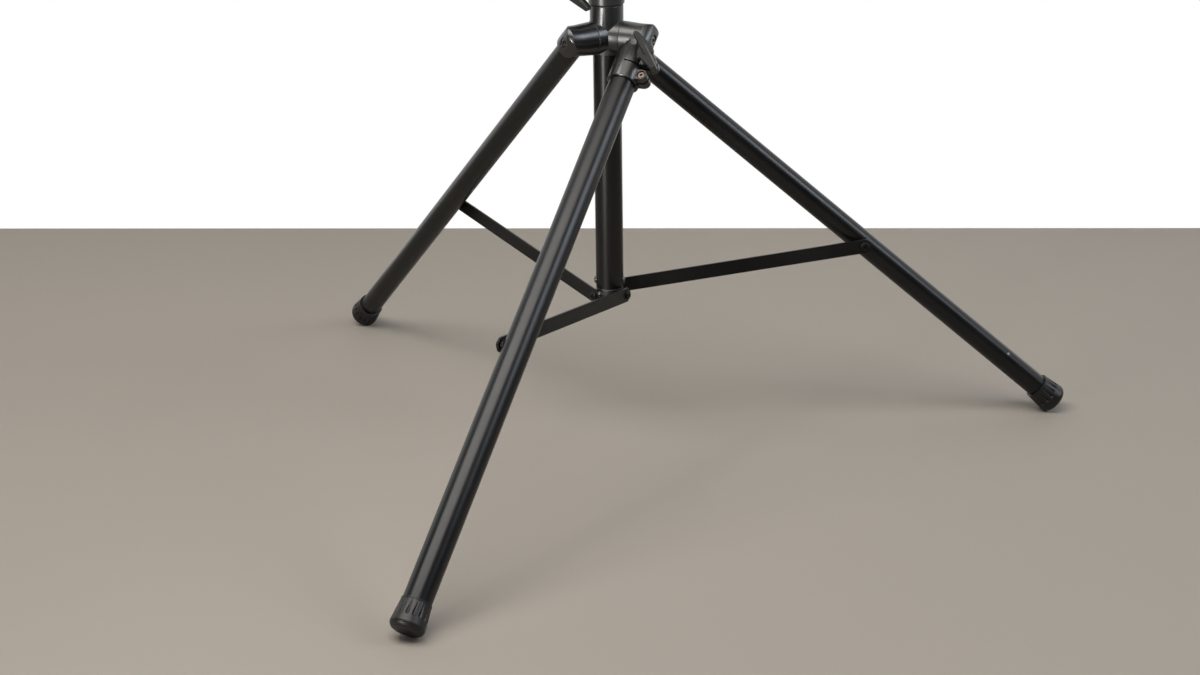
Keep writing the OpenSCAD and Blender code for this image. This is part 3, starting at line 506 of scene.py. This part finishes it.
# Mast
# The inner tube, with its row of pin holes, a moulded cap on top, the flange that a cabinet rests
# on, and a turned safety pin through the hole just above the clamp.
mast_r, pole_r, mast_top = 17.45 * mm, 17.2 * mm, cad_box[1].z
eased_copy("mast_coated", "mast", "mast", powder_black, 0.25 * mm)
nylon_black = finish("nylon_black", (0.011, 0.011, 0.011), (0.02, 0.02, 0.02), (0.4, 0.5), 800.0, 0.00003)
cap_long, cap_plug_r, cap_rim, cap_soft = 25 * mm, 15.4 * mm, 5 * mm, 2.5 * mm
cap_line = softened([(0, mast_top - cap_long), (cap_plug_r, mast_top - cap_long),
                     (cap_plug_r, mast_top - cap_rim), (pole_r, mast_top - cap_rim),
                     (pole_r, mast_top - cap_soft), (pole_r - cap_soft, mast_top), (0, mast_top)], 0.5 * mm)
piece("mast_cap_moulded", "mast", nylon_black, [turned(cap_line, 96)], ["mast_cap"])
flange_low, flange_top = (corner.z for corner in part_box("cabinet_flange"))
flange_r, flange_foot, flange_rim = mast_r + 9 * mm, 2.5 * mm, 4 * mm
flange_line = softened([(mast_r, flange_low), (mast_r + flange_foot, flange_low),
                        (flange_r, flange_top - flange_rim), (flange_r, flange_top), (mast_r, flange_top)],
                       0.6 * mm, closed=True)
piece("cabinet_flange_painted", "mast", strap_black, [turned(flange_line, 112)],
      ["cabinet_flange"])
pin_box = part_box("safety_pin")
pin_z, pin_r, head_low, head_h = (pin_box[0].z + pin_box[1].z) / 2, 3.1 * mm, 25.15 * mm, 16 * mm
tip, head_r, waist_r = -mast_r - 6 * mm, 6.4 * mm, 4.2 * mm
waist_low, waist_high, waist_slope = head_low + 4 * mm, head_low + 10 * mm, 0.6 * mm
pin_line = softened([(0, tip), (pin_r - 1 * mm, tip), (pin_r, tip + 2 * mm), (pin_r, head_low),
                     (head_r, head_low), (head_r, waist_low), (waist_r, waist_low + waist_slope),
                     (waist_r, waist_high - waist_slope), (head_r, waist_high),
                     (head_r, head_low + head_h), (0, head_low + head_h)], 0.7 * mm)
pin_place = Matrix.Translation((0, 0, pin_z)) @ Matrix.Rotation(math.radians(90), 4, "X")
piece("safety_pin_plated", "safety_pin", bright_plate,
      [placed(pin_place, turned(pin_line, 64))], ["safety_pin"])

# Braces
# Flat steel straps, punched and painted, with round ends. A painted button-head bolt with a
# washer holds the outer end of each one to its leg, over a spacer.
brace_rise, brace_at, brace_low, brace_t = 7.4, 480 * mm, 24 * mm, 3 * mm
brace_run = brace_at * math.sin(math.radians(leg_angle))
brace_long = brace_run / math.cos(math.radians(brace_rise))
brace_half = 10 * mm


def strap_grid():
    """A strap with round ends, flat in X and Y from z = 0 to its thickness. Its outline is the two half
    circles and the straights between them, and each ring of the grid is that outline drawn in by the
    rounding of the edge, down to the middle line."""
    points = 33
    a = np.linspace(-np.pi / 2, np.pi / 2, points)
    ends = np.concatenate([np.stack([np.cos(a), np.sin(a)], -1), np.stack([-np.cos(a), -np.sin(a)], -1)])
    middle = np.concatenate([np.full(points, brace_long), np.zeros(points)])
    line = softened([(0, 0), (brace_half, 0), (brace_half, brace_t), (0, brace_t)], 0.45 * mm)
    r, z = line[:, 0], line[:, 1]
    return np.stack([middle + r[:, None] * ends[:, 0], r[:, None] * ends[:, 1],
                     np.broadcast_to(z[:, None], (len(r), 2 * points))], -1)


spacer_low, spacer_r = brace_low + 1 * mm, 6 * mm
washer_r, washer_t, washer_sunk = 7.8 * mm, 0.8 * mm, 0.1 * mm
washer = softened([(0, -washer_t), (washer_r, -washer_t), (washer_r, washer_sunk), (0, washer_sunk)],
                  0.25 * mm)
for side, tube_r in (("level", level_r), ("left", leg_r), ("right", leg_r)):
    inner = (Matrix.Rotation(math.radians(leg_turns[side]), 4, "Z") @ Matrix.Translation((0, 0, brace_z))
             @ Matrix.Rotation(math.radians(-brace_rise), 4, "Y")
             @ Matrix.Rotation(math.radians(-90), 4, "X"))
    piece(side + "_brace_painted", side + "_brace", strap_black,
          [placed(inner @ Matrix.Translation((0, 0, brace_low)), strap_grid())], [side + "_brace"])
    outer = inner @ Matrix.Translation((brace_long, 0, 0))
    spacer_high = leg_offset - tube_r - lug_gap
    spacer = softened([(0, spacer_low), (spacer_r, spacer_low), (spacer_r, spacer_high), (0, spacer_high)],
                      0.3 * mm)
    seat = outer @ Matrix.Translation((0, 0, brace_low))
    head = seat @ Matrix.Rotation(math.pi, 4, "X") @ Matrix.Translation((0, 0, washer_t))
    piece(side + "_brace_bolt_painted", side + "_brace", strap_black,
          [placed(outer, turned(spacer, 64)), placed(seat, turned(washer, 64)),
           placed(head, button_screw(r=6.5 * mm, height=2.8 * mm, socket=4 * mm, shank_r=4 * mm,
                                     shank_low=-2 * mm))], [side + "_brace_bolt"])

# Bush and washers
# Turned nylon rings: the hub's bush, whose flange shows as a thin line over the neck, and the
# thrust washers between the hub's arms and the knuckles.
knuckle_r, bush_r, bush_in = 22.3 * mm, 20.5 * mm, 19.1 * mm
neck_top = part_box("hub")[1].z
flange_out, flange_over = 21.5 * mm, neck_top + 0.8 * mm
bush_line = softened([(bush_in, pivot_z - knuckle_r), (bush_r, pivot_z - knuckle_r), (bush_r, neck_top),
                      (flange_out, neck_top), (flange_out, flange_over), (bush_in, flange_over)],
                     0.2 * mm, closed=True)
piece("hub_bush_turned", "hub", nylon_black, [turned(bush_line, 112)], ["hub_bush"])
washer_in, washer_out, washer_low, washer_high = 11 * mm, 21.7 * mm, 26 * mm, 26.8 * mm
washer_line = softened([(washer_in, washer_low), (washer_out, washer_low), (washer_out, washer_high),
                        (washer_in, washer_high)], 0.15 * mm, closed=True)
piece("hub_washers_turned", "hub", nylon_black,
      [placed(place, turned(washer_line, 96)) for place in knuckle_place.values()], ["hub_washers"])

# Guide and plug
# The nylon guide on the mast's foot and the plug in the levelling tube's top lie inside other tubes,
# so the CAD's own solids stand for them. Every solid gets the finish of its slot.
slot_finish = {"black_tube": powder_black, "black_casting": cast_black, "grey_moulding": moulded_grey,
               "black_strap": strap_black, "nylon": nylon_black, "rubber": rubber_black,
               "bright_steel": bright_plate, "plain_steel": zinc_plate}
for part in frame["record"]["subparts"]:
    node = frame["nodes"][part["node"]]
    node.data.materials.clear()
    node.data.materials.append(slot_finish[part["material_slot"]])

# Stage
# A floor that ends a metre behind the stand at a white wall. A broad soft lamp hangs overhead, two
# stand on the right, and a narrow strip in front draws a thin line down the column.
world = bpy.data.worlds.new("world")
bpy.context.scene.world = world
world.use_nodes = True
sky = world.node_tree.nodes["Background"]
sky.inputs["Color"].default_value = (0.9, 0.93, 1.0, 1.0)
sky.inputs["Strength"].default_value = 0.05


def plain_surface(name, colour, rough):
    """A plain matt material for the stage."""
    made = bpy.data.materials.new(name)
    made.use_nodes = True
    shader = made.node_tree.nodes["Principled BSDF"]
    shader.inputs["Base Color"].default_value = (*colour, 1.0)
    shader.inputs["Roughness"].default_value = rough
    return made


def stage_sheet(name, corners, material):
    """A flat sheet of the stage, whose corners are turned to face the camera's side of the room."""
    mesh = bpy.data.meshes.new(name)
    ahead = Matrix.Rotation(math.radians(camera_turn - wall_turn), 4, "Z")
    mesh.from_pydata([ahead @ Vector(corner) for corner in corners], [], [(0, 1, 2, 3)])
    mesh.materials.append(material)
    made = bpy.data.objects.new(name, mesh)
    bpy.context.scene.collection.objects.link(made)


wall_at, wall_turn, wide, high = 1.03, 2.6, 5.0, 4.0
wall_white = plain_surface("wall_white", (0.8, 0.8, 0.8), 0.9)
nodes, links = wall_white.node_tree.nodes, wall_white.node_tree.links
rays, side_seen = nodes.new("ShaderNodeLightPath"), nodes.new("ShaderNodeNewGeometry")
white, through = nodes.new("ShaderNodeEmission"), nodes.new("ShaderNodeBsdfTransparent")
camera_or_gloss, or_glass = nodes.new("ShaderNodeMath"), nodes.new("ShaderNodeMath")
camera_or_gloss.operation = or_glass.operation = "MAXIMUM"
lit, one_sided = nodes.new("ShaderNodeMixShader"), nodes.new("ShaderNodeMixShader")
links.new(rays.outputs["Is Camera Ray"], camera_or_gloss.inputs[0])
links.new(rays.outputs["Is Glossy Ray"], camera_or_gloss.inputs[1])
links.new(camera_or_gloss.outputs["Value"], or_glass.inputs[0])
links.new(rays.outputs["Is Transmission Ray"], or_glass.inputs[1])
links.new(or_glass.outputs["Value"], lit.inputs["Fac"])
links.new(nodes["Principled BSDF"].outputs["BSDF"], lit.inputs[1])
links.new(white.outputs["Emission"], lit.inputs[2])
links.new(side_seen.outputs["Backfacing"], one_sided.inputs["Fac"])
links.new(lit.outputs["Shader"], one_sided.inputs[1])
links.new(through.outputs["BSDF"], one_sided.inputs[2])
links.new(one_sided.outputs["Shader"], nodes["Material Output"].inputs["Surface"])
stage_sheet("floor", [(-wide, -wide, 0), (wide, -wide, 0), (wide, wall_at, 0), (-wide, wall_at, 0)],
            plain_surface("floor_pale", (0.265, 0.238, 0.203), 0.75))
stage_sheet("wall", [(-wide, wall_at, 0), (wide, wall_at, 0), (wide, wall_at, high), (-wide, wall_at, high)],
            wall_white)


def soft_lamp(name, spot, aim, size, power, colour, beam=180.0):
    """A rectangular lamp at spot that faces aim and spreads its light over beam degrees."""
    data = bpy.data.lights.new(name, "AREA")
    data.shape = "RECTANGLE"
    data.size, data.size_y = size
    data.energy = power
    data.color = colour
    data.spread = math.radians(beam)
    lamp = bpy.data.objects.new(name, data)
    lamp.location = spot
    lamp.rotation_euler = (Vector(aim) - Vector(spot)).to_track_quat("-Z", "Y").to_euler()
    bpy.context.scene.collection.objects.link(lamp)


soft_lamp("lamp_top", (-0.2, -1.35, 2.9), (-0.2, -1.0, 0.0), (3.5, 1.6), 122.0, (1.0, 0.97, 0.94))
soft_lamp("lamp_right", (3.2, 1.1, 1.75), (0.4, 0.2, 0.3), (0.9, 1.3), 12.0, (0.9, 0.95, 1.0))
soft_lamp("lamp_window", (3.4, 0.5, 2.7), (0.0, 0.0, 0.55), (1.5, 1.5), 54.0, (0.82, 0.9, 1.0))
soft_lamp("lamp_strip", (-0.31, -2.18, 0.63), (0.0, 0.0, 0.63), (0.1, 1.2), 3.0, (1.0, 0.98, 0.96),
          beam=40.0)

bpy.context.scene.view_settings.view_transform = "Standard"
